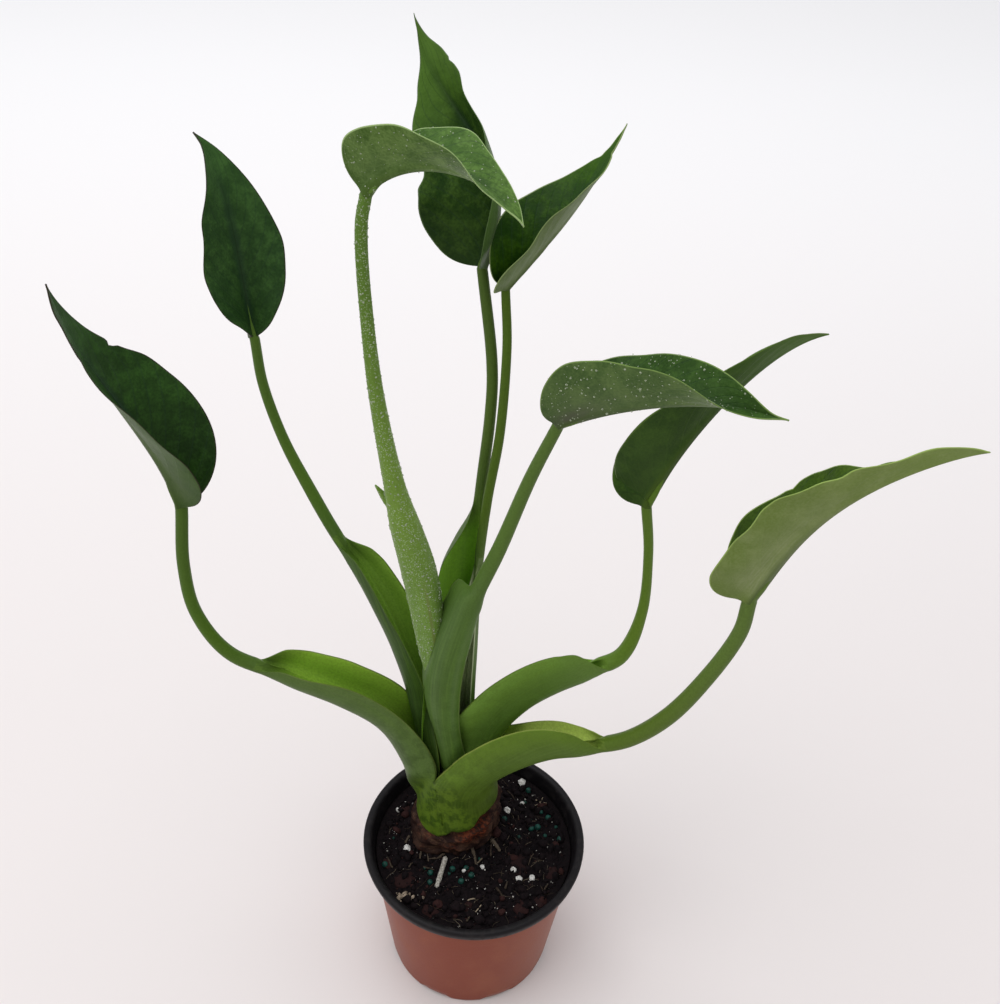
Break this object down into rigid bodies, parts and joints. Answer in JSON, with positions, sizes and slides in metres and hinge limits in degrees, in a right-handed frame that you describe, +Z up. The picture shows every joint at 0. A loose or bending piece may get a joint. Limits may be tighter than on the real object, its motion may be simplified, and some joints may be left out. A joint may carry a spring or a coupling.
{
  "type": "potted alocasia plant",
  "caption": "Young aroid in a small round nursery pot: pointed, cupped leaves on long curved stalks that sheathe one another above a brown corm.",
  "frame": {"origin": "middle of the pot's foot, on the surface that the pot stands on", "axes": "+Z up; -Y towards the viewer; +X to the picture's right"},
  "size_m": [0.2904, 0.1366, 0.4338],
  "materials": {
    "pot": "satin",
    "soil": "matte",
    "corm": "matte",
    "stalk": "satin",
    "blade": "satin",
    "perlite": "matte",
    "prill": "satin",
    "sliver": "matte",
    "crumb": "matte"
  },
  "bodies": {
    "root": {"blade_back": "blade", "blade_back_left": "blade", "blade_back_right": "blade", "blade_front_right": "blade", "blade_left": "blade", "blade_middle": "blade", "blade_right": "blade", "blade_young": "blade", "corm": "corm", "crumb": "crumb", "perlite_1": "perlite", "perlite_10": "perlite", "perlite_11": "perlite", "perlite_12": "perlite", "perlite_13": "perlite", "perlite_2": "perlite", "perlite_3": "perlite", "perlite_4": "perlite", "perlite_5": "perlite", "perlite_6": "perlite", "perlite_7": "perlite", "perlite_8": "perlite", "perlite_9": "perlite", "pot": "pot", "prill_1": "prill", "prill_10": "prill", "prill_11": "prill", "prill_2": "prill", "prill_3": "prill", "prill_4": "prill", "prill_5": "prill", "prill_6": "prill", "prill_7": "prill", "prill_8": "prill", "prill_9": "prill", "sliver": "sliver", "soil": "soil", "stalk_back": "stalk", "stalk_back_left": "stalk", "stalk_back_right": "stalk", "stalk_front_right": "stalk", "stalk_left": "stalk", "stalk_middle": "stalk", "stalk_right": "stalk", "stalk_young": "stalk"}
  },
  "joints": []
}
